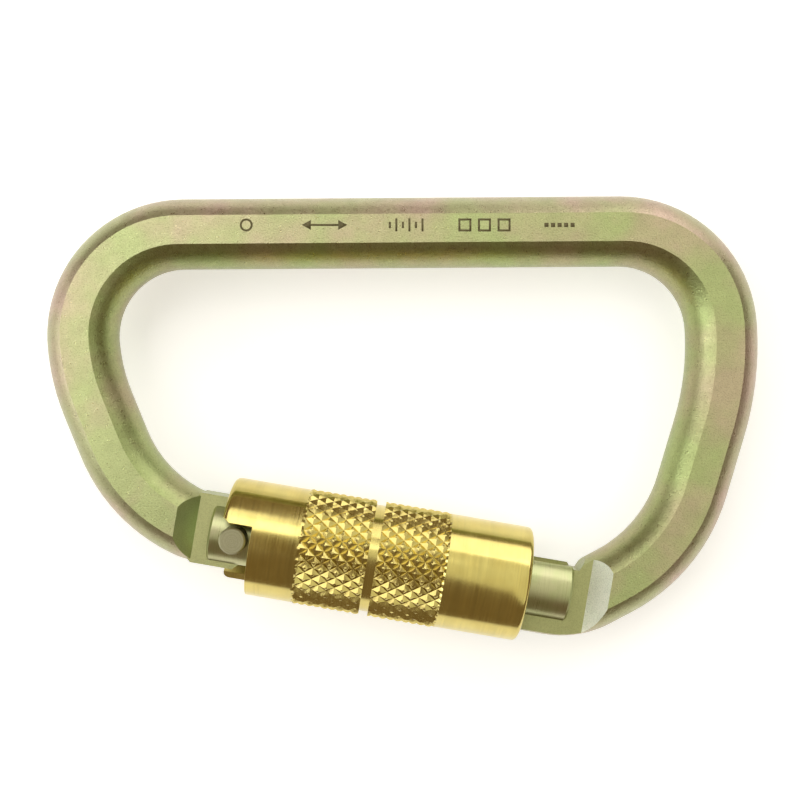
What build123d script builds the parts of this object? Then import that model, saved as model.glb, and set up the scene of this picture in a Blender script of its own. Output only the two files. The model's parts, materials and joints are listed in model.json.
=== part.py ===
"""Locking carabiner: a steel offset-D frame with an auto-locking twist sleeve on its gate.

The D lies flat. +X runs along its length, from the hinge end to the nose end, +Y runs across
it, from the gate to the spine, and +Z is up. The origin is under the middle of the whole
object's box, at the level of its lowest point, which is the underside of the sleeve.

Most pieces are drawn in the gate's own frame and then placed. There U runs along the gate
from the hinge rivet to the nose, V points into the D, W is up, and the rivet axis is at zero.
"""
from build123d import *
from math import acos, asin, atan2, cos, degrees, hypot, radians, sin, sqrt, tan
import os

# ---- overall sizes, mm ----
LENGTH = 112.0                # along the spine, over the bar
HEIGHT = 70.0                 # across the D, over the bar and the sleeve

# ---- bar of the frame ----
BAR_WIDTH = 11.0              # in the plane of the D
BAR_THICK = 10.6              # flat to flat
FLAT_WIDTH = 4.4              # the forged flats on the upper and lower face
CORNERS = (                   # of the bar's centre line, in half lengths and half heights
    (-0.753, -0.352), (-0.889, 0.180), (-0.932, 0.822),
    (0.879, 0.842), (0.905, 0.177), (0.761, -0.597))
BEND_RADII = (23.5, 32.0, 16.0, 16.0, 45.0, 25.0)      # one for each corner
BAR_START = 5.0               # round bar starts here, behind the rivet axis
HEEL_CORNER = 7.26            # first corner of the centre line, behind the rivet axis
HEEL_BEND = 8.0
NOSE_CORNER = 1.05            # last corner, past the gate's end
NOSE_BEND = 11.0

# ---- gate and hinge ----
GATE_DIAMETER = 10.0
GATE_HEEL = 4.2               # gate behind the rivet axis
GATE_EDGE = 0.35              # chamfer of the gate's ends
HEEL_ROUND = 1.6              # its inner corner
TOE_ROUND = 0.5               # inner corner of the nose end
RELIEF_LENGTH = 6.5           # slight taper on the inner side of the nose end
RELIEF_DEPTH = 0.8
HINGE_OFFSET = 0.35           # bar centre line beside the rivet axis, at the tang
HINGE_SHOULDER = 6.6          # rivet axis to the foot of the milled shoulder
TANG_ROOT = 1.0               # tang and tongue run this far into the bar
TANG_THICK = 5.0
TONGUE_THICK = 5.0
FACET_SLOPE = 45.0            # of the milled shoulders, degrees
CAM_TURN = 15.0               # the cam flat is turned this far from square, degrees
CAM_SPREAD = 25.0             # from the middle of the cam flat to its outer end, degrees
RIVET_SHANK = 3.4
RIVET_HEAD = 4.1
RIVET_SEAT = 3.6              # foot of the rivet head, above the middle plane
RIVET_TAIL = 4.5              # rivet shank below the middle plane
RIVET_REACH = 0.3             # rivet head into the sleeve's wall
RIVET_EDGE = 0.25
GATE_OPENING = 20.0           # degrees

# ---- nose ----
NOSE_OFFSET = 1.7             # bar centre line outside the gate axis, at the tongue
NOSE_SHOULDER = 2.8           # gate end to the foot of the milled shoulder
NOSE_GAP = 0.9                # gate end to the foot of the peak
PEAK_SLOPE = 66.0             # of the peak's side that faces the gate, degrees
HOOK_TOP = 1.5                # lip of the tongue's hook, above the gate axis
HOOK_ROUND = 0.5
TIP_ROUND = 3.0               # outer corner of the tongue's tip
TONGUE_REACH = 11.0           # tongue inside the gate's end
TONGUE_ROUND = 2.2            # rounding of the tongue's lower edges inside the sleeve
LATCH_PIN = 3.0
LATCH_BACK = 8.3              # latch pin to the gate's end
LATCH_LOW = 0.9               # latch pin outside the gate axis

# ---- locking sleeve ----
SLEEVE_WALL = 1.22
SLEEVE_START = -2.0           # from the rivet axis
SLEEVE_SHORT = 7.05           # gate left bare at the nose end
SLEEVE_TWIST = 100.0          # degrees
KNURL_WIDTH = 10.25           # each of two bands
KNURL_HEIGHT = 0.15           # crests above the plain barrel
GROOVE_WIDTH = 1.4            # plain groove between the bands
GROOVE_DEPTH = 0.55
GROOVE_PLACE = 21.32          # middle of the groove, from the rivet axis
SLEEVE_EDGE = 0.9             # rounding of the two ends
MOUTH_PLAY = 0.9              # tongue to sleeve, when locked
MOUTH_LEAD = 1.3              # wide mouth bore, past the tongue tip
WINDOW_LEAD = 6.0             # upper edge of the window, ahead of the tongue's middle, degrees
WINDOW_TAIL = 20.0            # window beyond the twist, behind the tongue's middle, degrees
WINDOW_EDGE = 0.8             # rounding of the wall at the window's end, as a share of that wall
NOTCH_REACH = 2.75            # rivet notch, past the rivet axis
NOTCH_CORNER = 3.3            # the notch's mouth is wider by this angle
CORNER_REACH = 0.6            # length of that wider mouth
NOTCH_TAIL = 20.0             # rivet notch beyond the twist, below the rivet, degrees

# ---- rings and springs inside the sleeve ----
RING_WIDTH = 3.0
ANCHOR_RING_GAP = 1.2         # gate slot to the first ring
DRIVE_RING_BACK = 2.4         # tongue tip to the second ring
CLIP_WIRE = 0.8
CLIP_SWEEP = 310.0            # the clip is an open ring, degrees
CLIP_TURN = 35.0              # its opening is turned this far, degrees
SLEEVE_WIRE = 1.1
SLEEVE_TURNS = 9
BEND_SWELL = 1.03             # the wire is this much thicker where a leg bends off
LEG_DEPTH = 1.0               # spring legs in the rings
PLUNGER_DIAMETER = 3.6
PLUNGER_BODY = 4.0
GATE_WIRE = 0.5
GATE_TURNS = 13
SPRING_BORE = 28.0            # depth of the spring bore, from the rivet axis
SMALL_EDGE = 0.2              # chamfer of rings and pins

# ---- clearances ----
RUNNING = 0.05                # radial, between parts that turn or slide
SEATED = 0.01                 # radial, between parts pressed together
SLOT_CLEAR = 0.15             # each side of tang and tongue
SWING_CLEAR = 0.35            # round the tang, and past the tongue tip
TIP_CLEAR = 0.06              # plunger to cam
NOTCH_CLEAR = 0.33            # rivet head to the notch
TONGUE_HOLD = 0.5             # tongue's full width past the end of the sleeve
SLOT_FLOOR = 0.6              # tongue's tip to the floor of its slot

# ---- places that follow from the sizes ----
BAR_HALF = BAR_WIDTH / 2
GATE_R = GATE_DIAMETER / 2
PLUNGER_R = PLUNGER_DIAMETER / 2
PIVOT = (-0.461 * LENGTH / 2, -0.529 * HEIGHT / 2)
NOSE_FOOT = (0.513 * LENGTH / 2, -0.797 * HEIGHT / 2)      # gate axis, under the nose shoulder
GATE_TILT = degrees(atan2(NOSE_FOOT[1] - PIVOT[1], NOSE_FOOT[0] - PIVOT[0]))
SPAN = hypot(NOSE_FOOT[0] - PIVOT[0], NOSE_FOOT[1] - PIVOT[1])
GATE_END = SPAN - NOSE_SHOULDER
TANG_HIGH = HINGE_OFFSET + BAR_HALF
TANG_LOW = BAR_HALF - HINGE_OFFSET
TONGUE_LOW = NOSE_OFFSET + BAR_HALF
TONGUE_HIGH = BAR_HALF - NOSE_OFFSET
TONGUE_TIP = GATE_END - TONGUE_REACH
LATCH_U = GATE_END - LATCH_BACK
OPEN = radians(GATE_OPENING)
TANG_SWING = (TANG_HIGH - SLEEVE_START * sin(OPEN)) / cos(OPEN)
SLEEVE_BORE = hypot(TANG_SWING, TANG_THICK / 2) + SWING_CLEAR
SLEEVE_R = SLEEVE_BORE + SLEEVE_WALL
KNURL_R = SLEEVE_R + KNURL_HEIGHT
MOUTH_BORE = TONGUE_LOW + MOUTH_PLAY
SLEEVE_END = GATE_END - SLEEVE_SHORT
TONGUE_ROOT = SLEEVE_END + TONGUE_HOLD
NOSE_SLOT = TONGUE_TIP - SLOT_FLOOR
NOTCH_TOP = degrees(asin((RIVET_HEAD / 2 + NOTCH_CLEAR) / SLEEVE_BORE))
CAM_REACH = TANG_LOW * cos(radians(CAM_SPREAD))
PLUNGER_U = (CAM_REACH + PLUNGER_R) / cos(radians(CAM_TURN)) + TIP_CLEAR
PLUNGER_TRAVEL = ((CAM_REACH + PLUNGER_R) / cos(radians(CAM_TURN + GATE_OPENING))
                  - (CAM_REACH + PLUNGER_R) / cos(radians(CAM_TURN)))
SLEEVE_COIL_R = (GATE_R + SLEEVE_BORE) / 2
HINGE_SLOT = TANG_HIGH + SWING_CLEAR
ANCHOR_RING_U = HINGE_SLOT + ANCHOR_RING_GAP
DRIVE_RING_U = TONGUE_TIP - DRIVE_RING_BACK - RING_WIDTH
CLIP_U = DRIVE_RING_U + RING_WIDTH + RUNNING + CLIP_WIRE / 2
MID_Z = KNURL_R
FAR = 3 * BAR_WIDTH           # reach of a cutter that runs out of the part
OVERRUN = 0.5                 # a cutter starts this far outside what it cuts
SECTOR_STEPS = 6              # sides of a sector's outline, well outside the part

GATE_FRAME = Location((PIVOT[0], PIVOT[1], MID_Z), (0, 0, GATE_TILT))


def on_gate(u, v):
    """A point of the gate's frame, as a point of the D's plane."""
    tilt = radians(GATE_TILT)
    return (PIVOT[0] + u * cos(tilt) - v * sin(tilt), PIVOT[1] + u * sin(tilt) + v * cos(tilt))


def around(angle, radius):
    """V and W of a point on a circle about the gate axis. Zero is up, and 90 points into the D."""
    return (radius * sin(radians(angle)), radius * cos(radians(angle)))


def plate(points, thick):
    """A flat polygon in U and V, made thick evenly about the middle plane."""
    return extrude(make_face(Polyline(*points, close=True)), thick / 2, both=True)


def rod(radius, start, end):
    """A round bar along the gate axis."""
    along = (Align.CENTER, Align.CENTER, Align.MIN)
    return Pos(start, 0, 0) * Rot(0, 90, 0) * Cylinder(radius, end - start, align=along)


def pin(radius, low, high):
    """A round pin across the gate."""
    along = (Align.CENTER, Align.CENTER, Align.MIN)
    return Pos(0, 0, low) * Cylinder(radius, high - low, align=along)


def sector(start, end, low, high):
    """A wedge about the gate axis, from one angle to another, between two places along it."""
    turn = (end - start) / SECTOR_STEPS
    rim = [around(start + turn * i, FAR) for i in range(SECTOR_STEPS + 1)]
    face = Plane.YZ * make_face(Polyline((0, 0), *rim, close=True))
    return Pos(low, 0, 0) * extrude(face, high - low, dir=(1, 0, 0))


def coil(radius, wire, turns, start, end):
    """A helical spring along the gate axis, between two places."""
    height = end - start - wire
    line = Helix(height / turns, height, radius)
    section = Plane(origin=line @ 0, z_dir=line % 0) * Circle(wire / 2)
    return Pos(start + wire / 2, 0, 0) * Rot(0, 90, 0) * sweep(section, path=line, is_frenet=True)


def bar_line():
    """Centre line of the bar, from the rivet round the D to the tongue."""
    half_l = LENGTH / 2
    half_h = HEIGHT / 2
    path = [
        on_gate(-BAR_START, HINGE_OFFSET),
        on_gate(-HEEL_CORNER, HINGE_OFFSET),
        *[(x * half_l, y * half_h) for x, y in CORNERS],
        on_gate(GATE_END + NOSE_CORNER, -NOSE_OFFSET),
        on_gate(TONGUE_ROOT, -NOSE_OFFSET),
    ]
    return FilletPolyline(*path, radius=[HEEL_BEND, *BEND_RADII, NOSE_BEND])


def bar_section(plane):
    """A round bar with its upper and lower face pressed flat."""
    flat = FLAT_WIDTH / 2
    half = BAR_THICK / 2
    outline = [
        Line((-flat, half), (flat, half)),
        ThreePointArc((flat, half), (BAR_HALF, 0), (flat, -half)),
        Line((flat, -half), (-flat, -half)),
        ThreePointArc((-flat, -half), (-BAR_HALF, 0), (-flat, half)),
    ]
    return plane * make_face(outline)


def shoulder_cutter(foot, towards, thick):
    """Mills both faces down to a tang or tongue: a slanted shoulder, then a flat face."""
    low = thick / 2
    rise = BAR_THICK
    run = rise / tan(radians(FACET_SLOPE))
    profile = Polyline(
        (foot, low), (foot - towards * run, low + rise),
        (foot + towards * FAR, low + rise), (foot + towards * FAR, low), close=True)
    upper = extrude(Plane.XZ * make_face(profile), BAR_WIDTH, both=True)
    return [upper, mirror(upper, Plane.XY)]


def tang():
    """Flat eye round the rivet. Its end is round, with a flat cam for the plunger."""
    low_at = -CAM_TURN - CAM_SPREAD
    high_at = -CAM_TURN + degrees(acos(CAM_REACH / TANG_HIGH))
    low_end = (TANG_LOW * cos(radians(low_at)), TANG_LOW * sin(radians(low_at)))
    high_end = (TANG_HIGH * cos(radians(high_at)), TANG_HIGH * sin(radians(high_at)))
    foot = -HINGE_SHOULDER
    root = foot - TANG_ROOT
    outline = [
        Line((0, TANG_HIGH), (foot, TANG_HIGH)),
        Line((foot, TANG_HIGH), (root, TANG_HIGH - TANG_ROOT)),
        Line((root, TANG_HIGH - TANG_ROOT), (root, TANG_ROOT - TANG_LOW)),
        Line((root, TANG_ROOT - TANG_LOW), (foot, -TANG_LOW)),
        Line((foot, -TANG_LOW), (0, -TANG_LOW)),
        RadiusArc((0, -TANG_LOW), low_end, TANG_LOW),
        Line(low_end, high_end),
        RadiusArc(high_end, (0, TANG_HIGH), TANG_HIGH),
    ]
    eye = extrude(make_face(outline), TANG_THICK / 2, both=True)
    return eye - pin(RIVET_SHANK / 2 + RUNNING, -TANG_THICK, TANG_THICK)


def tongue_tip():
    """The hooked end of the tongue, inside the gate's end. Its notch seats the latch pin."""
    slot = LATCH_PIN / 2 + 2 * RUNNING
    root = TONGUE_ROOT + TANG_ROOT / 2
    outline = make_face(Polyline(
        (root, -TONGUE_LOW), (TONGUE_TIP, -TONGUE_LOW), (TONGUE_TIP, HOOK_TOP),
        (LATCH_U, HOOK_TOP), (LATCH_U, TONGUE_HIGH), (root, TONGUE_HIGH), close=True))
    nose = outline.vertices().sort_by(Axis.X)[0:2].sort_by(Axis.Y)
    outline = fillet(nose[0], TIP_ROUND)
    outline = fillet(outline.vertices().group_by(Axis.X)[0].sort_by(Axis.Y)[-1], HOOK_ROUND)
    block = extrude(outline, TONGUE_THICK / 2, both=True)
    low_edges = block.edges().filter_by(lambda e: e.center().Y < TIP_ROUND / 3 - TONGUE_LOW)
    low_edges = low_edges.filter_by(lambda e: abs(e.center().Z) > 0.48 * TONGUE_THICK)
    block = fillet(low_edges, TONGUE_ROUND)
    notch = Pos(LATCH_U, -LATCH_LOW, 0) * pin(slot, -TONGUE_THICK, TONGUE_THICK)
    mouth = Pos(LATCH_U, FAR / 2 - LATCH_LOW, 0) * Box(2 * slot, FAR, 2 * TONGUE_THICK)
    return block - notch - mouth


def nose_relief():
    """Clears the inner side of the nose for the end of the gate, and leaves a peak."""
    foot = (GATE_END + NOSE_GAP, TONGUE_HIGH)
    top = (foot[0] + BAR_WIDTH / tan(radians(PEAK_SLOPE)), TONGUE_HIGH + BAR_WIDTH)
    low = TONGUE_ROOT - TANG_ROOT
    return plate([foot, top, (low, top[1]), (low, TONGUE_HIGH)], FAR)


def frame():
    """The forged and bent bar, milled at both ends."""
    path = bar_line()
    start = Plane(origin=path @ 0, x_dir=(path % 0).cross(Vector(0, 0, 1)), z_dir=path % 0)
    bar = Location((0, 0, MID_Z)) * sweep(bar_section(start), path=path)
    bar = GATE_FRAME.inverse() * bar
    for cutter in shoulder_cutter(-HINGE_SHOULDER, 1, TANG_THICK):
        bar -= cutter
    for cutter in shoulder_cutter(SPAN, -1, TONGUE_THICK):
        bar -= cutter
    return bar - nose_relief() + tang() + tongue_tip()


def gate_body():
    """Round gate with a fork at each end, and a bore for the return spring."""
    side = GATE_R + OVERRUN
    slope = RELIEF_DEPTH / RELIEF_LENGTH
    outline = make_face(Polyline(
        (-GATE_HEEL, -side), (GATE_END, -side), (GATE_END, GATE_R - RELIEF_DEPTH),
        (GATE_END - RELIEF_LENGTH - OVERRUN / slope, side), (-GATE_HEEL, side), close=True))
    heel = outline.vertices().group_by(Axis.X)[0].sort_by(Axis.Y)[-1]
    outline = fillet(heel, HEEL_ROUND + OVERRUN)
    toe = outline.vertices().group_by(Axis.X)[-1].sort_by(Axis.Y)[-1]
    outline = fillet(toe, TOE_ROUND)
    body = rod(GATE_R, -GATE_HEEL, GATE_END)
    body = chamfer(body.edges().filter_by(GeomType.CIRCLE), GATE_EDGE)
    body &= extrude(outline, 2 * GATE_R, both=True)
    fork = TANG_THICK + 2 * SLOT_CLEAR
    body -= Pos(HINGE_SLOT - FAR / 2, 0, 0) * Box(FAR, FAR, fork)
    fork = TONGUE_THICK + 2 * SLOT_CLEAR
    body -= Pos(NOSE_SLOT + FAR / 2, 0, 0) * Box(FAR, FAR, fork)
    body -= rod(PLUNGER_R + RUNNING, HINGE_SLOT - OVERRUN, SPRING_BORE)
    body -= pin(RIVET_SHANK / 2 + SEATED, -FAR, FAR)
    body -= pin(RIVET_HEAD / 2 + SEATED, RIVET_SEAT, FAR)
    body -= Pos(LATCH_U, -LATCH_LOW, 0) * pin(LATCH_PIN / 2 + SEATED, -FAR, FAR)
    groove = CLIP_WIRE / 2 + RUNNING
    cutter = rod(GATE_R + OVERRUN, CLIP_U - groove, CLIP_U + groove)
    return body - (cutter - rod(GATE_R - groove, CLIP_U - FAR, CLIP_U + FAR))


def hinge_rivet():
    """Stepped rivet: the shank turns in the tang, and the tall head stops the sleeve."""
    shank = pin(RIVET_SHANK / 2, -RIVET_TAIL, RIVET_SEAT)
    head = pin(RIVET_HEAD / 2, RIVET_SEAT, SLEEVE_BORE + RIVET_REACH)
    head = chamfer(head.edges().group_by(Axis.Z)[-1], RIVET_EDGE)
    shank = chamfer(shank.edges().group_by(Axis.Z)[0], RIVET_EDGE)
    return shank + head


def latch_pin():
    """Pin across the fork at the nose end. It seats in the tongue's notch."""
    half = sqrt(GATE_R ** 2 - (LATCH_LOW + LATCH_PIN / 2) ** 2)
    bar = pin(LATCH_PIN / 2, -half, half)
    return Pos(LATCH_U, -LATCH_LOW, 0) * chamfer(bar.edges().filter_by(GeomType.CIRCLE), SMALL_EDGE)


def gate_plunger():
    """Round-nosed plunger that presses on the tang's cam."""
    return rod(PLUNGER_R, PLUNGER_U, PLUNGER_U + PLUNGER_BODY) + Pos(PLUNGER_U, 0, 0) * Sphere(PLUNGER_R)


def gate_spring():
    """Compression spring between the plunger and the end of its bore."""
    back = PLUNGER_U + PLUNGER_BODY
    radius = PLUNGER_R - GATE_WIRE / 2 - RUNNING
    return coil(radius, GATE_WIRE, GATE_TURNS, back + RUNNING, SPRING_BORE - RUNNING)


def spring_leg(bend, end):
    """Straight end of the sleeve spring, along the gate axis, on its lower side.

    The ball at the bend lies across, so that its seam keeps clear of the wire's."""
    wire = SLEEVE_WIRE / 2
    leg = rod(wire, min(bend, end), max(bend, end)) + Pos(end, 0, 0) * Sphere(wire)
    ball = Pos(bend, 0, 0) * Rot(90, 0, 0) * Sphere(BEND_SWELL * wire)
    return Pos(0, 0, -SLEEVE_COIL_R) * (leg + ball)


def sleeve_spring():
    """Torsion spring that turns the sleeve back. Each leg sits in a hole of a ring."""
    wire = SLEEVE_WIRE / 2
    start = ANCHOR_RING_U + RING_WIDTH + SLEEVE_WIRE
    end = DRIVE_RING_U - SLEEVE_WIRE
    turns = coil(SLEEVE_COIL_R, SLEEVE_WIRE, SLEEVE_TURNS, start, end)
    first = spring_leg(start + wire, start - SLEEVE_WIRE - LEG_DEPTH)
    last = spring_leg(end - wire, end + SLEEVE_WIRE + LEG_DEPTH)
    return turns + first + last


def ring(inner, outer, start):
    """Plain ring on the gate, inside the sleeve."""
    body = rod(outer, start, start + RING_WIDTH)
    body = chamfer(body.edges().filter_by(GeomType.CIRCLE), SMALL_EDGE)
    return body - rod(inner, start - OVERRUN, start + RING_WIDTH + OVERRUN)


def leg_hole(start, end):
    """Hole for a leg of the sleeve spring."""
    return Pos(0, 0, -SLEEVE_COIL_R) * rod(SLEEVE_WIRE / 2 + RUNNING, start, end)


def anchor_ring():
    """Ring pressed on the gate: it holds one leg of the spring, and the sleeve turns on it."""
    end = ANCHOR_RING_U + RING_WIDTH
    body = ring(GATE_R + SEATED, SLEEVE_BORE - RUNNING, ANCHOR_RING_U)
    return body - leg_hole(end - LEG_DEPTH - SLEEVE_WIRE, end + OVERRUN)


def drive_ring():
    """Ring pressed in the sleeve: it turns on the gate and holds the spring's other leg."""
    body = ring(GATE_R + RUNNING, SLEEVE_BORE - SEATED, DRIVE_RING_U)
    return body - leg_hole(DRIVE_RING_U - OVERRUN, DRIVE_RING_U + LEG_DEPTH + SLEEVE_WIRE)


def retaining_clip():
    """Open wire ring in the gate's groove, which keeps the sleeve from sliding off."""
    section = Plane.XY * Pos(CLIP_U, GATE_R, 0) * Circle(CLIP_WIRE / 2)
    return Rot(CLIP_TURN, 0, 0) * revolve(section, Axis.X, CLIP_SWEEP)


def locking_sleeve():
    """Barrel with two knurled bands, a notch for the rivet and a window for the tongue."""
    first = GROOVE_PLACE - GROOVE_WIDTH / 2
    second = GROOVE_PLACE + GROOVE_WIDTH / 2
    floor = SLEEVE_R - GROOVE_DEPTH
    mouth = TONGUE_TIP - MOUTH_LEAD
    profile = make_face(Polyline(
        (SLEEVE_START, SLEEVE_BORE), (SLEEVE_START, SLEEVE_R),
        (first - KNURL_WIDTH, SLEEVE_R), (first - KNURL_WIDTH, KNURL_R),
        (first, KNURL_R), (first, floor), (second, floor), (second, KNURL_R),
        (second + KNURL_WIDTH, KNURL_R), (second + KNURL_WIDTH, SLEEVE_R),
        (SLEEVE_END, SLEEVE_R), (SLEEVE_END, MOUTH_BORE), (mouth, MOUTH_BORE),
        (mouth, SLEEVE_BORE), close=True))
    start_rim = profile.vertices().group_by(Axis.X)[0].sort_by(Axis.Y)[-1]
    profile = fillet(start_rim, SLEEVE_EDGE)
    end_rim = profile.vertices().group_by(Axis.X)[-1].sort_by(Axis.Y)[-1]
    profile = fillet(end_rim, WINDOW_EDGE * (SLEEVE_R - MOUTH_BORE))
    barrel = revolve(profile, Axis.X)
    outside = SLEEVE_START - OVERRUN
    barrel -= sector(NOTCH_TOP, -NOTCH_TAIL - SLEEVE_TWIST, outside, NOTCH_REACH)
    barrel -= sector(NOTCH_TOP + NOTCH_CORNER, 0, outside, SLEEVE_START + CORNER_REACH)
    rear = -90 - SLEEVE_TWIST - WINDOW_TAIL
    return barrel - sector(-90 + WINDOW_LEAD, rear, mouth, SLEEVE_END + OVERRUN)


PIECES = {
    "frame": frame,
    "gate_body": gate_body,
    "hinge_rivet": hinge_rivet,
    "latch_pin": latch_pin,
    "gate_plunger": gate_plunger,
    "gate_spring": gate_spring,
    "anchor_ring": anchor_ring,
    "drive_ring": drive_ring,
    "sleeve_spring": sleeve_spring,
    "retaining_clip": retaining_clip,
    "locking_sleeve": locking_sleeve,
}


def main():
    os.makedirs("parts", exist_ok=True)
    for name, make in PIECES.items():
        piece = GATE_FRAME * make()
        export_step(piece, "parts/" + name + ".step")
        box = piece.bounding_box()
        print(name, "valid" if piece.is_valid else "NOT VALID", len(piece.solids()), "solid",
              round(piece.volume, 2), "mm3", [round(x, 2) for x in (*box.min, *box.max)])
    print("rivet axis", [round(x, 4) for x in PIVOT], "gate tilt", round(GATE_TILT, 4))
    print("span", round(SPAN, 3), "gate end", round(GATE_END, 3), "sleeve end", round(SLEEVE_END, 3))
    print("sleeve radius", round(SLEEVE_R, 3), "bore", round(SLEEVE_BORE, 3), "mouth", MOUTH_BORE)
    print("plunger travel", round(PLUNGER_TRAVEL, 4))


main()
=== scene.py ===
"""Looks of the auto-locking carabiner: a knurled brass sleeve on a passivated steel frame.

Sizes are in millimetres, in the gate's frame where they are of the gate: U runs along the
gate from the rivet to the nose, V points into the D, and W is up. Angles about the gate are
in degrees: zero is up, and 90 points into the D.
"""
import json
from collections import namedtuple
from math import cos, degrees, pi, radians, sin, tan

import bmesh
import bpy
import numpy as np
from mathutils import Matrix, Vector


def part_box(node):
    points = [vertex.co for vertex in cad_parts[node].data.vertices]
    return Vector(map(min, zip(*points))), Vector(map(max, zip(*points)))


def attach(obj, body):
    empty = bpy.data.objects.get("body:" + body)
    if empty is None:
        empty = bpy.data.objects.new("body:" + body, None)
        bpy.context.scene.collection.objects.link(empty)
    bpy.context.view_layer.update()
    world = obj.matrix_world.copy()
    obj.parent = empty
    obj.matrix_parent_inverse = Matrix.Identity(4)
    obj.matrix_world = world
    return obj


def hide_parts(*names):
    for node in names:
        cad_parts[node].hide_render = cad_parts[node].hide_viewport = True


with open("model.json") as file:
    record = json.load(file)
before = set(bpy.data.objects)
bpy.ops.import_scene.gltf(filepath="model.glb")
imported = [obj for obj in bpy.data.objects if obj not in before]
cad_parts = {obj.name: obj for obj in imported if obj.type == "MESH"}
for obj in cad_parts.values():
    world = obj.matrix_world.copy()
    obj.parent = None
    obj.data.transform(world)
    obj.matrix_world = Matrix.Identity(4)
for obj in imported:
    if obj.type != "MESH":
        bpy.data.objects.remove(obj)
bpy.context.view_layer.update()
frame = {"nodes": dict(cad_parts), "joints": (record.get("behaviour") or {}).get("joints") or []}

MM = 0.001

# ---- camera ----
CAMERA_PLACE = (-0.44, 2.78)      # over the D
CAMERA_HEIGHT = 174.0             # above the D's middle plane
CAMERA_FIELD = 126.4              # width of the view at the middle plane
SENSOR = 36.0
CLIP_START = 0.01                 # metres

# ---- brass sleeve ----
SLEEVE_R = 8.96
SLEEVE_BORE = 7.74
MOUTH_BORE = 8.10
START_EDGE = 0.90                 # rounding of the end at the hinge
END_EDGE = 0.69                   # rounding of the end at the nose
EDGE_STEPS = 6
BAND_WIDTH = 10.25
BAND_MIDDLE = 21.32               # between the two bands
GROOVE_WIDTH = 1.4
GROOVE_R = 8.41
KNURL_DEPTH = 0.50
KNURL_ALONG = 8.5                 # half diamonds along a band
KNURL_AROUND = 58                 # half diamonds round the sleeve
KNURL_STEPS = 4                   # mesh steps in half a diamond
KNURL_TOP = 0.85                  # the diamonds' tips are cut at this share of their height
KNURL_RUNOUT = 0.30
KNURL_UNEVEN = 0.05               # greatest random wear, as a share of the depth
KNURL_SEED = 7
NOTCH_REACH = 2.75
NOTCH_TOP = 17.9
NOTCH_LOW = -120.0
NOTCH_SLANT = 6.5                 # the notch's corner is cut off by this angle
SLANT_REACH = 1.2                 # and this length
WINDOW_START = 40.245
WINDOW_TOP = -84.0
WINDOW_LOW = -210.0
RIM_BEVEL = 0.12
RIM_STEPS = 2
SHIFT_COLUMNS = 14                # mesh columns that share out a moved edge's shift
WALL_STEP = 0.02                  # length of the step between the two bores
COLUMNS = KNURL_AROUND * KNURL_STEPS
COLUMN = 360 / COLUMNS            # angle between two columns of the mesh

OUTSIDE, KNURL, INSIDE = range(3)                 # the sleeve's material slots

# ---- colours ----
ZINC_GREEN = (0.49, 0.55, 0.26)
ZINC_GOLD = (0.53, 0.51, 0.29)
ZINC_PINK = (0.58, 0.49, 0.33)
# painted shade: darker copies of the zinc for the bar's sloping faces, the outer ones also
# tinted pink as a painted reflection
OUTER_EDGE_PAINTED_SHADE = (0.86, 0.78, 0.88)
INNER_EDGE_PAINTED_SHADE = (0.74, 0.76, 0.68)
MILLED_GREEN = (0.46, 0.48, 0.23)
SHOULDER_GREEN = (0.44, 0.52, 0.26)
# painted highlight: the nose facet's near-white colour stands in for the light it reflects
PAINTED_HIGHLIGHT_WHITE = (0.94, 0.99, 0.86)
GATE_GREEN = (0.46, 0.485, 0.25)
GATE_GOLD = (0.50, 0.49, 0.28)
RIVET_DARK = (0.36, 0.35, 0.21)
RIVET_LIGHT = (0.42, 0.40, 0.26)
WIRE_GREY = (0.50, 0.50, 0.50)
RING_GREY = (0.56, 0.56, 0.53)
PLUNGER_GREY = (0.58, 0.57, 0.52)
BRASS_DARK = (0.66, 0.54, 0.175)
BRASS_LIGHT = (0.70, 0.59, 0.205)
INK_DARK = (0.10, 0.085, 0.035)
INK_LIGHT = (0.17, 0.145, 0.065)
WARM_GREEN_LIGHT = (0.95, 1, 0.88)
COOL_LIGHT = (0.94, 0.99, 1)

# ---- sockets of the mix node, when it mixes colours ----
MIX_SHARE, MIX_FIRST, MIX_SECOND = 0, 6, 7
MIX_RESULT = 2


def mm(*values):
    """A point given in millimetres, in metres."""
    return Vector(values) * MM


def joint(name):
    return next(j for j in frame["joints"] if j["name"] == name)


def gate_matrix():
    """Places the gate's frame in the object's: U from the sleeve's axis, W up, at the rivet."""
    along = -Vector(joint("sleeve_twist")["axis"]).normalized()
    up = Vector((0, 0, 1))
    turn = Matrix((along, up.cross(along), up)).transposed().to_4x4()
    return Matrix.Translation(joint("gate_open")["pos_m"]) @ turn


GATE = gate_matrix()


SHARP_FROM = 22                   # edges sharper than this angle aren't smoothed


# ---- node helpers ----

def new_material(name, **settings):
    """A metal on the Principled shader. Returns its material and its node tree."""
    material = bpy.data.materials.new(name)
    material.use_nodes = True
    tree = material.node_tree
    shader = tree.nodes["Principled BSDF"]
    shader.inputs["Metallic"].default_value = 1.0
    for socket, value in settings.items():
        shader.inputs[socket.replace("_", " ")].default_value = value
    return material, tree


def node(tree, kind, inputs=(), **settings):
    """Adds a node, sets its properties and links or fills its inputs."""
    made = tree.nodes.new(kind)
    for name, value in settings.items():
        setattr(made, name, value)
    for key, value in dict(inputs).items():
        if isinstance(value, bpy.types.NodeSocket):
            tree.links.new(value, made.inputs[key])
        else:
            made.inputs[key].default_value = value
    return made


def to_shader(tree, socket, value):
    tree.links.new(value, tree.nodes["Principled BSDF"].inputs[socket])


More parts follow.
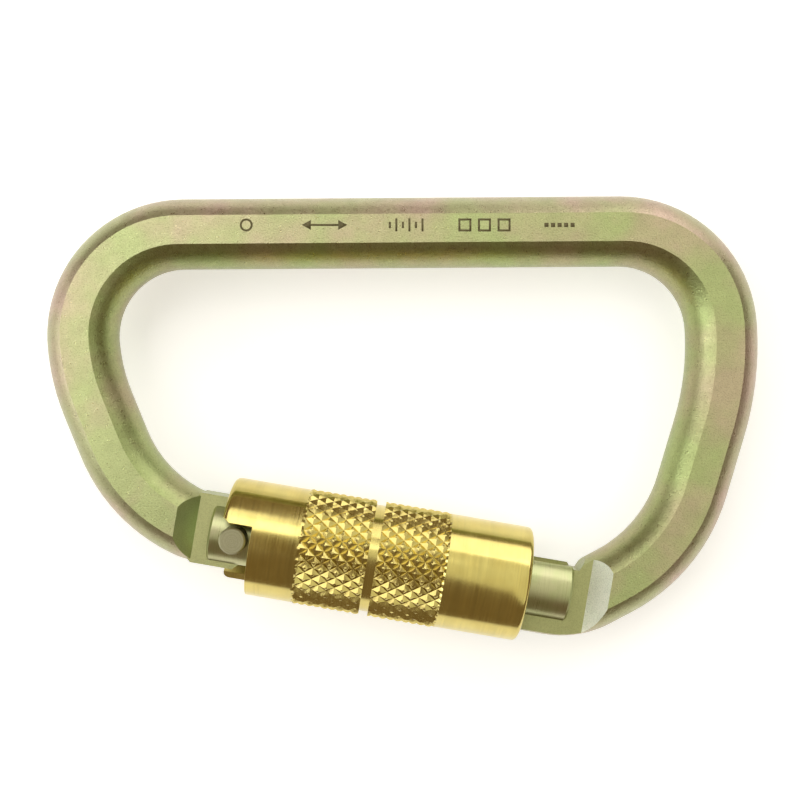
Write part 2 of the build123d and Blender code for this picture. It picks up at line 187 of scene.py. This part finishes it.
def place(tree, stretch=(1, 1, 1), turn=0.0):
    """Object coordinates in millimetres, turned about Z and then stretched."""
    where = node(tree, "ShaderNodeTexCoord").outputs["Object"]
    turned = node(tree, "ShaderNodeVectorRotate", {"Vector": where, "Angle": radians(turn)},
                  rotation_type="Z_AXIS").outputs["Vector"]
    scale = tuple(s / MM for s in stretch)
    return node(tree, "ShaderNodeVectorMath", {0: turned, 1: scale},
                operation="MULTIPLY").outputs["Vector"]


def noise(tree, where, size, detail=2.0, rough=0.5):
    """Noise whose features are about size millimetres wide."""
    return node(tree, "ShaderNodeTexNoise",
                {"Vector": where, "Scale": 1 / size, "Detail": detail, "Roughness": rough}
                ).outputs["Fac"]


def ramp(tree, value, *stops):
    """A colour or grey ramp through (place, colour) stops."""
    made = node(tree, "ShaderNodeValToRGB", {"Fac": value})
    points = made.color_ramp.elements
    while len(points) < len(stops):
        points.new(0.5)
    for point, (at, colour) in zip(points, stops):
        point.position = at
        point.color = (*colour, 1) if isinstance(colour, tuple) else (colour, colour, colour, 1)
    return made.outputs["Color"]


def multiply(tree, first, second):
    """The product of two colours."""
    inputs = {MIX_SHARE: 1.0, MIX_FIRST: first, MIX_SECOND: second}
    made = node(tree, "ShaderNodeMix", inputs, data_type="RGBA", blend_type="MULTIPLY")
    return made.outputs[MIX_RESULT]


def add_bump(tree, layers):
    """Bump from (height, strength, depth in mm) layers, one on another."""
    normal = None
    for height, strength, depth in layers:
        inputs = {"Height": height, "Strength": strength, "Distance": depth * MM}
        if normal:
            inputs["Normal"] = normal
        normal = node(tree, "ShaderNodeBump", inputs).outputs["Normal"]
    to_shader(tree, "Normal", normal)


# ---- materials ----

def zinc_steel(name="zinc_steel", tone=(1, 1, 1)):
    """Yellow passivated zinc on blasted steel: green-gold with pinkish patches, fine grain."""
    material, tree = new_material(name)
    where = place(tree)
    patches = noise(tree, where, size=11.0, detail=3.0)
    # tone scales all the colours; on the frame's sloping faces it is painted shade
    green, gold, pink = (tuple(c * t for c, t in zip(colour, tone))
                         for colour in (ZINC_GREEN, ZINC_GOLD, ZINC_PINK))
    plating = ramp(tree, patches, (0.38, green), (0.52, gold), (0.64, pink))
    clouds = ramp(tree, noise(tree, where, size=2.6, detail=4.0), (0.3, 0.90), (0.7, 1.0))
    grain = noise(tree, where, size=0.24, detail=3.0, rough=0.6)
    speckle = ramp(tree, grain, (0.32, 0.74), (0.50, 1.0))
    colour = multiply(tree, plating, clouds)
    to_shader(tree, "Base Color", multiply(tree, colour, speckle))
    satin = noise(tree, where, size=0.8, detail=3.0)
    to_shader(tree, "Roughness", ramp(tree, satin, (0.3, 0.26), (0.7, 0.38)))
    dents = noise(tree, where, size=1.4, detail=2.0)
    add_bump(tree, ((dents, 0.35, 0.10), (grain, 0.9, 0.06)))
    return material


def milled_zinc(name, green, roughness, grain_depth=0.04):
    """The milled tang, tongue and shoulders: a fine, glittering grain."""
    material, tree = new_material(name)
    where = place(tree)
    grain = noise(tree, where, size=0.16, detail=3.0, rough=0.7)
    patches = noise(tree, where, size=4.0, detail=3.0)
    tint = ramp(tree, patches, (0.35, green), (0.65, tuple(1.08 * c for c in green)))
    speckle = ramp(tree, grain, (0.35, 0.78), (0.55, 1.0))
    to_shader(tree, "Base Color", multiply(tree, tint, speckle))
    to_shader(tree, "Roughness", ramp(tree, grain, (0.3, roughness), (0.7, roughness + 0.12)))
    dents = noise(tree, where, size=0.8, detail=2.0)
    add_bump(tree, ((dents, 0.2, 0.04), (grain, 0.7, grain_depth)))
    return material


def gate_steel():
    """Turned and plated gate: smooth and silvery green, with faint rings."""
    material, tree = new_material("gate_steel")
    tilt = degrees(GATE.to_euler().z)
    rings = noise(tree, place(tree, stretch=(1, 0.02, 0.02), turn=-tilt), size=0.10, detail=3.0)
    where = place(tree)
    patches = noise(tree, where, size=3.5, detail=2.0)
    tint = ramp(tree, patches, (0.4, GATE_GREEN), (0.6, GATE_GOLD))
    shade = ramp(tree, rings, (0.3, 0.88), (0.6, 1.0))
    to_shader(tree, "Base Color", multiply(tree, tint, shade))
    to_shader(tree, "Roughness", ramp(tree, rings, (0.3, 0.27), (0.7, 0.36)))
    grain = noise(tree, where, size=0.3, detail=2.0)
    add_bump(tree, ((rings, 0.15, 0.01), (grain, 0.25, 0.02)))
    return material


def rivet_steel():
    """Satin head with faint turning rings about the rivet's axis."""
    material, tree = new_material("rivet_steel")
    where = node(tree, "ShaderNodeTexCoord").outputs["Object"]
    local = node(tree, "ShaderNodeVectorMath", {0: where, 1: tuple(GATE.translation)},
                 operation="SUBTRACT").outputs["Vector"]
    flat = node(tree, "ShaderNodeVectorMath", {0: local, 1: (1 / MM, 1 / MM, 0)},
                operation="MULTIPLY").outputs["Vector"]
    reach = node(tree, "ShaderNodeVectorMath", {0: flat}, operation="LENGTH").outputs["Value"]
    outward = node(tree, "ShaderNodeCombineXYZ", {"X": reach}).outputs["Vector"]
    rings = noise(tree, outward, size=0.14, detail=2.0)
    grain = noise(tree, place(tree), size=0.15, detail=3.0)
    tint = ramp(tree, grain, (0.35, RIVET_DARK), (0.65, RIVET_LIGHT))
    shade = ramp(tree, rings, (0.35, 0.80), (0.6, 1.0))
    to_shader(tree, "Base Color", multiply(tree, tint, shade))
    to_shader(tree, "Roughness", ramp(tree, grain, (0.3, 0.40), (0.7, 0.50)))
    add_bump(tree, ((rings, 0.5, 0.03), (grain, 0.3, 0.02)))
    return material


def wire_steel(name, colour=WIRE_GREY):
    """Drawn or turned plain steel, for springs, rings, the plunger and the clip."""
    material, tree = new_material(name)
    where = place(tree)
    cloud = noise(tree, where, size=0.6, detail=4.0)
    dark = tuple(0.7 * c for c in colour)
    to_shader(tree, "Base Color", ramp(tree, cloud, (0.3, dark), (0.65, colour)))
    to_shader(tree, "Roughness", ramp(tree, cloud, (0.3, 0.22), (0.7, 0.40)))
    grain = noise(tree, where, size=0.18, detail=2.0)
    add_bump(tree, ((grain, 0.2, 0.02),))
    return material


def brass(name, dull=0.0):
    """Brass turned on a lathe about the gate's axis."""
    material, tree = new_material(name)
    tilt = degrees(GATE.to_euler().z)
    rings = noise(tree, place(tree, stretch=(1, 0.012, 0.012), turn=-tilt),
                  size=0.16, detail=4.0, rough=0.7)
    bands = noise(tree, place(tree, stretch=(1, 0.03, 0.03), turn=-tilt), size=1.6, detail=2.0)
    cloud = noise(tree, place(tree), size=3.0, detail=3.0)
    gold = ramp(tree, cloud, (0.35, BRASS_DARK), (0.65, BRASS_LIGHT))
    shade = ramp(tree, rings, (0.3, 0.86), (0.55, 1.0))
    colour = multiply(tree, gold, shade)
    tone = ramp(tree, bands, (0.3, 0.90), (0.7, 1.0))
    to_shader(tree, "Base Color", multiply(tree, colour, tone))
    to_shader(tree, "Roughness", ramp(tree, rings, (0.3, 0.12 + dull), (0.7, 0.22 + dull)))
    pits = noise(tree, place(tree), size=0.35, detail=3.0)
    add_bump(tree, ((rings, 0.18, 0.012), (pits, 0.10 + dull, 0.02)))
    return material


def floor_card():
    """Matt white card, with a little light of its own so that its shadows stay soft."""
    material, tree = new_material("floor_card", Metallic=0.0, Roughness=0.9)
    patches = noise(tree, place(tree), size=30.0, detail=3.0)
    to_shader(tree, "Base Color", ramp(tree, patches, (0.3, 0.90), (0.7, 0.93)))
    shader = tree.nodes["Principled BSDF"]
    shader.inputs["Emission Color"].default_value = (1, 1, 1, 1)
    shader.inputs["Emission Strength"].default_value = FLOOR_GLOW
    return material


# ---- the sleeve's mesh ----

Row = namedtuple("Row", "u radius bore band")


def arc(centre_u, centre_r, radius, start, end):
    """Points of an arc in U and R. Zero points along +R and 90 along +U."""
    turns = [radians(start + (end - start) * i / EDGE_STEPS) for i in range(EDGE_STEPS + 1)]
    return [(centre_u + radius * sin(t), centre_r + radius * cos(t)) for t in turns]


def knurl_height(i, j):
    """Share of the knurl's depth at a place counted in half diamonds along and around."""
    def to_groove(x):
        return abs(x - round(x))
    pyramid = 2 * min(to_groove((i + j) / 2), to_groove((i - j) / 2))
    return min(pyramid, KNURL_TOP) / KNURL_TOP


def plain_rows(places, bore):
    """Rows at the sleeve's full radius."""
    return [Row(u, SLEEVE_R, bore, None) for u in places]


def edge_rows(centre_u, edge, bore, start, end):
    """Rows round the rounded edge at one of the sleeve's ends."""
    return [Row(u, r, bore, None) for u, r in arc(centre_u, SLEEVE_R - edge, edge, start, end)]


def band_rows(low, crest):
    """Rows of a knurled band, numbered from its start."""
    steps = round(KNURL_ALONG * KNURL_STEPS)
    step = BAND_WIDTH / steps
    return [Row(low + k * step, crest, None, k) for k in range(steps + 1)]


def sleeve_rows(start, end, crest):
    """Rows of the mesh from the hinge to the nose.

    Rows in the bands and the groove have no bore: the inner surface runs straight past them."""
    first = BAND_MIDDLE - GROOVE_WIDTH / 2 - BAND_WIDTH
    second = BAND_MIDDLE + GROOVE_WIDTH / 2
    past = second + BAND_WIDTH
    rows = edge_rows(start + START_EDGE, START_EDGE, SLEEVE_BORE, -90, 0)
    rows += plain_rows((start + SLANT_REACH, NOTCH_REACH, (NOTCH_REACH + first) / 2,
                        first - 2 * KNURL_RUNOUT, first - KNURL_RUNOUT), SLEEVE_BORE)
    rows += band_rows(first, crest)
    rows += [Row(u, GROOVE_R, None, None) for u in (first + BAND_WIDTH, second)]
    rows += band_rows(second, crest)
    rows += plain_rows((past + KNURL_RUNOUT, past + 2 * KNURL_RUNOUT, WINDOW_START - WALL_STEP),
                       SLEEVE_BORE)
    rows += plain_rows((WINDOW_START, (WINDOW_START + end) / 2), MOUTH_BORE)
    return rows + edge_rows(end - END_EDGE, END_EDGE, MOUTH_BORE, 0, 90)


def column_angles(u, start):
    """Angles of the columns at a row. The columns nearest to a cut are moved onto its edge."""
    even = [COLUMN * j for j in range(COLUMNS)]
    if u < BAND_MIDDLE - BAND_WIDTH:
        slant = NOTCH_SLANT * max(0, 1 - (u - start) / SLANT_REACH)
        edges = ((NOTCH_TOP, slant), (NOTCH_LOW % 360, 0))
    elif u > BAND_MIDDLE + BAND_WIDTH:
        edges = ((WINDOW_LOW % 360, 0), (WINDOW_TOP % 360, 0))
    else:
        return even
    known, moved = [0.0], [0.0]
    for edge, shift in edges:
        nearest = round(edge / COLUMN) * COLUMN
        known += [nearest, nearest + SHIFT_COLUMNS * COLUMN]
        moved += [edge + shift, nearest + SHIFT_COLUMNS * COLUMN]
    return list(np.interp(even, known + [360.0], moved + [360.0]))


def is_cut(u, angle):
    """True if a cell of the sleeve, given by its middle, is in the notch or the window."""
    if u < NOTCH_REACH:
        return angle < NOTCH_TOP or angle > NOTCH_LOW % 360
    return u > WINDOW_START and WINDOW_LOW % 360 < angle < WINDOW_TOP % 360


def is_kept(rows, k, following, j):
    """True if there is wall between two rows, just past column j. None is past an end."""
    if k is None or following is None:
        return False
    return not is_cut((rows[k].u + rows[following].u) / 2, (j + 0.5) * COLUMN)


def is_groove_rising(band, j):
    """True where a cell's nearer groove runs along its first diagonal."""
    along = (band + 0.5) / KNURL_STEPS
    around = (j + 0.5) / KNURL_STEPS
    plus = abs((along + around) / 2 - round((along + around) / 2))
    minus = abs((along - around) / 2 - round((along - around) / 2))
    return plus > minus


def add_rings(mesh, rows, start):
    """Adds each row's vertices. Returns the outer rings and the inner ones."""
    chance = np.random.default_rng(KNURL_SEED)
    outer, inner = [], []
    for row in rows:
        ring, bore_ring = [], []
        for j, angle in enumerate(column_angles(row.u, start)):
            r = row.radius
            if row.band is not None:
                share = knurl_height(row.band / KNURL_STEPS, j / KNURL_STEPS)
                share -= KNURL_UNEVEN * chance.random() * (0 < share)
                r -= KNURL_DEPTH * (1 - share)
            v, w = sin(radians(angle)), cos(radians(angle))
            ring.append(mesh.verts.new(GATE @ mm(row.u, r * v, r * w)))
            if row.bore:
                bore_ring.append(mesh.verts.new(GATE @ mm(row.u, row.bore * v, row.bore * w)))
        outer.append(ring)
        inner.append(bore_ring)
    return outer, inner


def add_face(mesh, corners, material):
    mesh.faces.new(corners).material_index = material


def add_outside(mesh, rows, outer):
    """The outer surface. A knurled cell is split along its nearer groove."""
    for k in range(len(rows) - 1):
        knurled = rows[k].band is not None and rows[k + 1].band is not None
        for j in range(COLUMNS):
            if not is_kept(rows, k, k + 1, j):
                continue
            n = (j + 1) % COLUMNS
            corners = [outer[k][j], outer[k + 1][j], outer[k + 1][n], outer[k][n]]
            if knurled:
                rising = is_groove_rising(rows[k].band, j)
                a, b, c, d = corners if rising else corners[1:] + corners[:1]
                add_face(mesh, (a, b, c), KNURL)
                add_face(mesh, (a, c, d), KNURL)
            else:
                add_face(mesh, corners, OUTSIDE)


def add_inside(mesh, rows, inner, bored):
    """The bore."""
    for k, following in zip(bored, bored[1:]):
        for j in range(COLUMNS):
            n = (j + 1) % COLUMNS
            if is_kept(rows, k, following, j):
                corners = (inner[k][j], inner[k][n], inner[following][n], inner[following][j])
                add_face(mesh, corners, INSIDE)


def add_cut_sides(mesh, rows, outer, inner, bored):
    """Walls along the sides of the notch and the window. Returns the edges to bevel."""
    rims = []
    for k, following in zip(bored, bored[1:]):
        for j in range(COLUMNS):
            n = (j + 1) % COLUMNS
            if is_kept(rows, k, following, j) != is_kept(rows, k, following, n):
                corners = (outer[k][n], outer[following][n], inner[following][n], inner[k][n])
                add_face(mesh, corners, INSIDE)
                rims.append((outer[k][n], outer[following][n]))
    return rims


def add_end_walls(mesh, rows, outer, inner, bored):
    """Walls at the sleeve's ends and at the ends of its cuts. Returns the edges to bevel."""
    rims = []
    for before, k, after in zip([None] + bored, bored, bored[1:] + [None]):
        for j in range(COLUMNS):
            n = (j + 1) % COLUMNS
            if is_kept(rows, before, k, j) != is_kept(rows, k, after, j):
                add_face(mesh, (outer[k][j], outer[k][n], inner[k][n], inner[k][j]), INSIDE)
                rims.append((outer[k][j], outer[k][n]))
                rims.append((inner[k][j], inner[k][n]))
    return rims


def sleeve_mesh(start, end, crest):
    """The sleeve as one closed mesh, with a bevel weight on the rims of its walls."""
    rows = sleeve_rows(start, end, crest)
    bored = [k for k, row in enumerate(rows) if row.bore]
    mesh = bmesh.new()
    outer, inner = add_rings(mesh, rows, start)
    add_outside(mesh, rows, outer)
    add_inside(mesh, rows, inner, bored)
    rims = add_cut_sides(mesh, rows, outer, inner, bored)
    rims += add_end_walls(mesh, rows, outer, inner, bored)
    weight = mesh.edges.layers.float.new("bevel_weight_edge")
    for pair in rims:
        edge = mesh.edges.get(pair)
        if edge:
            edge[weight] = 1.0
    loose = [v for v in mesh.verts if not v.link_faces]
    bmesh.ops.delete(mesh, geom=loose, context="VERTS")
    bmesh.ops.recalc_face_normals(mesh, faces=mesh.faces)
    return mesh


def locking_sleeve():
    """The visible sleeve, which stands for the CAD's."""
    to_gate = GATE.inverted()
    points = [to_gate @ v.co for v in frame["nodes"]["locking_sleeve"].data.vertices]
    start = min(p.x for p in points) / MM
    end = max(p.x for p in points) / MM
    low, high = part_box("locking_sleeve")
    crest = (high.z - low.z) / 2 / MM
    materials = (brass("brass"), brass("brass_knurl", dull=0.03), brass("brass_bore", dull=0.15))
    sleeve = as_object("knurled_sleeve", sleeve_mesh(start, end, crest), materials)
    bevel = sleeve.modifiers.new("rim", "BEVEL")
    bevel.limit_method = "WEIGHT"
    bevel.width = RIM_BEVEL * MM
    bevel.segments = RIM_STEPS
    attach(sleeve, "sleeve")
    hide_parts("locking_sleeve")


def as_object(name, mesh, materials):
    """Makes an object from a bmesh, smooth but for its sharp edges."""
    for face in mesh.faces:
        face.smooth = True
    for edge in mesh.edges:
        gentle = edge.calc_face_angle(0) < radians(SHARP_FROM)
        edge.smooth = len(edge.link_faces) == 2 and gentle
    data = bpy.data.meshes.new(name)
    mesh.to_mesh(data)
    mesh.free()
    made = bpy.data.objects.new(name, data)
    bpy.context.scene.collection.objects.link(made)
    for material in materials:
        data.materials.append(material)
    return made


# ---- marks on the spine ----
MARK_Y = 29.6                     # middle of the row of marks
MARK_HIGH = 2.0
MARK_LINE = 0.32                  # width of a line
MARK_SINK = 0.01
MARK_RISE = 0.005
RING_X = -24.0
RING_SIDES = 24
ARROW_X = -12.0
ARROW_LONG = 7.0
HEAD_LONG = 1.4
HEAD_HIGH = 1.5
TICK_X = -2.0
TICK_GAP = 1.0
TICKS = 6
BOX_X = 9.5
BOX_GAP = 3.0
BOXES = 3
DOT_X = 22.0
DOTS = 5


def bar(x, y, width, height):
    """Corners of a rectangle given by its middle."""
    w, h = width / 2, height / 2
    return [(x - w, y - h), (x + w, y - h), (x + w, y + h), (x - w, y + h)]


def ring_marks(x, y, outside):
    """A ring, as one four-sided plate for each of its sides."""
    inside = outside - MARK_LINE
    corners = [(cos(2 * pi * i / RING_SIDES), sin(2 * pi * i / RING_SIDES))
               for i in range(RING_SIDES + 1)]
    return [[(x + r * c, y + r * s) for r, (c, s) in
             ((inside, a), (outside, a), (outside, b), (inside, b))]
            for a, b in zip(corners, corners[1:])]


def mark_outlines():
    """Plain generic marks: a ring, a double arrow, ticks, small boxes and dots."""
    outlines = ring_marks(RING_X, MARK_Y, MARK_HIGH / 2)
    outlines.append(bar(ARROW_X, MARK_Y, ARROW_LONG - 2 * HEAD_LONG, MARK_LINE))
    for way in (-1, 1):
        root, tip = (ARROW_X + way * (ARROW_LONG / 2 - back) for back in (HEAD_LONG, 0))
        half = way * HEAD_HIGH / 2
        outlines.append([(root, MARK_Y - half), (tip, MARK_Y), (root, MARK_Y + half)])
    for i in range(TICKS):
        height = MARK_HIGH if i % 2 else MARK_HIGH / 2
        outlines.append(bar(TICK_X + i * TICK_GAP, MARK_Y, MARK_LINE, height))
    for i in range(BOXES):
        x = BOX_X + i * BOX_GAP
        for side in (-1, 1):
            edge = side * (MARK_HIGH - MARK_LINE) / 2
            outlines.append(bar(x, MARK_Y + edge, MARK_HIGH, MARK_LINE))
            outlines.append(bar(x + edge, MARK_Y, MARK_LINE, MARK_HIGH - 2 * MARK_LINE))
    for i in range(DOTS):
        outlines.append(bar(DOT_X + i * TICK_GAP, MARK_Y, 2 * MARK_LINE, 2 * MARK_LINE))
    return outlines


def etched_ink():
    """Dull brown of a laser mark."""
    material, tree = new_material("etched_ink", Metallic=0.3)
    where = place(tree)
    cloud = noise(tree, where, size=0.3, detail=3.0)
    to_shader(tree, "Base Color", ramp(tree, cloud, (0.3, INK_DARK), (0.7, INK_LIGHT)))
    grain = noise(tree, where, size=0.2, detail=2.0)
    to_shader(tree, "Roughness", ramp(tree, grain, (0.3, 0.55), (0.7, 0.75)))
    return material


def spine_marks():
    """Thin plates on the spine's upper flat, one to each part of a mark."""
    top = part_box("frame")[1].z
    mesh = bmesh.new()
    for outline in mark_outlines():
        below, above = ([mesh.verts.new((x * MM, y * MM, top + rise * MM)) for x, y in outline]
                        for rise in (-MARK_SINK, MARK_RISE))
        mesh.faces.new(above)
        mesh.faces.new(below[::-1])
        for i in range(len(outline)):
            n = (i + 1) % len(outline)
            mesh.faces.new((below[i], below[n], above[n], above[i]))
    marks = as_object("spine_marks", mesh, (etched_ink(),))
    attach(marks, "frame_body")


# ---- materials on the CAD nodes ----
HINGE_ENDS = (-11, 6)             # where the milled faces are, along the gate
NOSE_ENDS = (40, 60)
MILLED_REACH = 12                 # and to either side of it
MILLED_HEIGHT = 2.6               # above and below the middle plane
LEVEL = 0.02                      # how far a normal may be off
BEVEL_NORMAL = 0.95               # the bar's sloping faces point less far up than this

BAR, MILLED, HINGE_FACET, NOSE_FACET, OUTER_EDGE, INNER_EDGE = range(6)    # material slots


def dress(name, slot, *materials):
    """Gives a CAD node its materials."""
    piece = frame["nodes"][name]
    piece.data.materials.clear()
    for material in materials:
        piece.data.materials.append(material)
    return piece


def frame_slot(face, to_gate):
    """Material slot of one of the frame's faces, from where it is and which way it points."""
    where = to_gate @ face.center / MM
    way = to_gate.to_3x3() @ face.normal
    near_hinge = HINGE_ENDS[0] < where.x < HINGE_ENDS[1]
    near_nose = NOSE_ENDS[0] < where.x < NOSE_ENDS[1]
    if (near_hinge or near_nose) and abs(where.y) < MILLED_REACH:
        if abs(abs(way.x) - abs(way.z)) < LEVEL and abs(way.y) < LEVEL:
            return HINGE_FACET if near_hinge else NOSE_FACET
        if 1 - abs(way.z) < LEVEL and abs(where.z) < MILLED_HEIGHT:
            return MILLED
    # sloping faces get darker zinc copies, outer and inner apart: painted shade, set by which
    # way they face
    if abs(face.normal.z) < BEVEL_NORMAL:
        return OUTER_EDGE if face.normal.xy.dot(face.center.xy) > 0 else INNER_EDGE
    return BAR


def dress_frame():
    """Grained bar, with finer milled faces at the tang and the tongue, a painted highlight on
    the nose facet and painted shade on the sloping faces.
    """
    flat = milled_zinc("milled_zinc", MILLED_GREEN, roughness=0.34)
    shoulder = milled_zinc("milled_shoulder", SHOULDER_GREEN, roughness=0.40)
    # painted highlight: near-white colour on the nose facet for the light it reflects; its
    # coarse grain is a blasted finish
    painted_highlight = milled_zinc("blasted_shoulder_painted_highlight", PAINTED_HIGHLIGHT_WHITE, roughness=0.50, grain_depth=0.30)
    # painted shade on the sloping faces, the outer ones with a pink painted reflection tint
    outer = zinc_steel("zinc_outer_edge_painted_shade", OUTER_EDGE_PAINTED_SHADE)
    inner = zinc_steel("zinc_inner_edge_painted_shade", INNER_EDGE_PAINTED_SHADE)
    piece = dress("frame", "zinc_steel", zinc_steel(), flat, shoulder, painted_highlight, outer, inner)
    to_gate = GATE.inverted()
    for face in piece.data.polygons:
        face.material_index = frame_slot(face, to_gate)
        if face.material_index in (HINGE_FACET, NOSE_FACET):
            face.use_smooth = False


# ---- studio ----
FLOOR_GLOW = 0.42
FLOOR_SIZE = 1.2                  # metres from its middle to each side
FLOOR_CELLS = 12
WORLD_COLOUR = (0.23, 0.165, 0.095)
LIGHT_DISTANCE = 700.0


def softbox(name, azimuth, slope, wide, high, radiance, colour=(1, 1, 1)):
    """A softbox aimed at the object, given by the angles it fills as seen from there.

    Slope is from straight up, and azimuth from +Y towards +X."""
    width, height = (2 * LIGHT_DISTANCE * tan(radians(a / 2)) * MM for a in (wide, high))
    data = bpy.data.lights.new(name, "AREA")
    data.shape = "RECTANGLE"
    data.size = width
    data.size_y = height
    data.energy = radiance * pi * width * height
    data.color = colour
    light = bpy.data.objects.new(name, data)
    bpy.context.scene.collection.objects.link(light)
    a, s = radians(azimuth), radians(slope)
    way = Vector((sin(a) * sin(s), cos(a) * sin(s), cos(s)))
    light.location = way * LIGHT_DISTANCE * MM
    light.rotation_mode = "QUATERNION"
    light.rotation_quaternion = way.to_track_quat("Z", "Y")


def lights():
    """Softboxes in the directions that the bevels and the sleeve reflect, in a dim warm room."""
    softbox("back_low", azimuth=30, slope=66, wide=42, high=38, radiance=1.9)
    softbox("back_high", azimuth=-16, slope=40, wide=28, high=36, radiance=1.7)
    softbox("top_panel", azimuth=75, slope=24, wide=82, high=44, radiance=0.78,
            colour=WARM_GREEN_LIGHT)
    softbox("left_high", azimuth=-80, slope=34, wide=42, high=40, radiance=1.7)
    softbox("left_low", azimuth=-92, slope=66, wide=40, high=22, radiance=3.4, colour=COOL_LIGHT)
    world = bpy.data.worlds.new("studio")
    world.use_nodes = True
    world.node_tree.nodes["Background"].inputs["Color"].default_value = (*WORLD_COLOUR, 1)
    bpy.context.scene.world = world


def floor():
    """A large flat card under the object."""
    mesh = bmesh.new()
    bmesh.ops.create_grid(mesh, x_segments=FLOOR_CELLS, y_segments=FLOOR_CELLS, size=FLOOR_SIZE)
    card = as_object("floor", mesh, (floor_card(),))


def camera():
    """Straight above the D, at the height that gives its perspective."""
    middle = GATE.translation.z
    data = bpy.data.cameras.new("camera")
    data.sensor_width = SENSOR
    data.lens = SENSOR * CAMERA_HEIGHT / CAMERA_FIELD
    data.clip_start = CLIP_START
    made = bpy.data.objects.new("camera", data)
    bpy.context.scene.collection.objects.link(made)
    x, y = CAMERA_PLACE
    made.location = (x * MM, y * MM, middle + CAMERA_HEIGHT * MM)
    bpy.context.scene.camera = made


def main():
    bpy.context.scene.view_settings.view_transform = "Standard"
    dress_frame()
    dress("gate_body", "gate_steel", gate_steel())
    dress("hinge_rivet", "rivet_steel", rivet_steel())
    dress("latch_pin", "rivet_steel", rivet_steel())
    dress("gate_plunger", "rivet_steel", wire_steel("plunger_steel", PLUNGER_GREY))
    dress("retaining_clip", "spring_steel", wire_steel("clip_steel"))
    dress("gate_spring", "spring_steel", wire_steel("gate_spring_steel"))
    dress("sleeve_spring", "spring_steel", wire_steel("sleeve_spring_steel"))
    dress("anchor_ring", "ring_steel", wire_steel("anchor_ring_steel", RING_GREY))
    dress("drive_ring", "ring_steel", wire_steel("drive_ring_steel", RING_GREY))
    locking_sleeve()
    spine_marks()
    floor()
    lights()
    camera()


main()
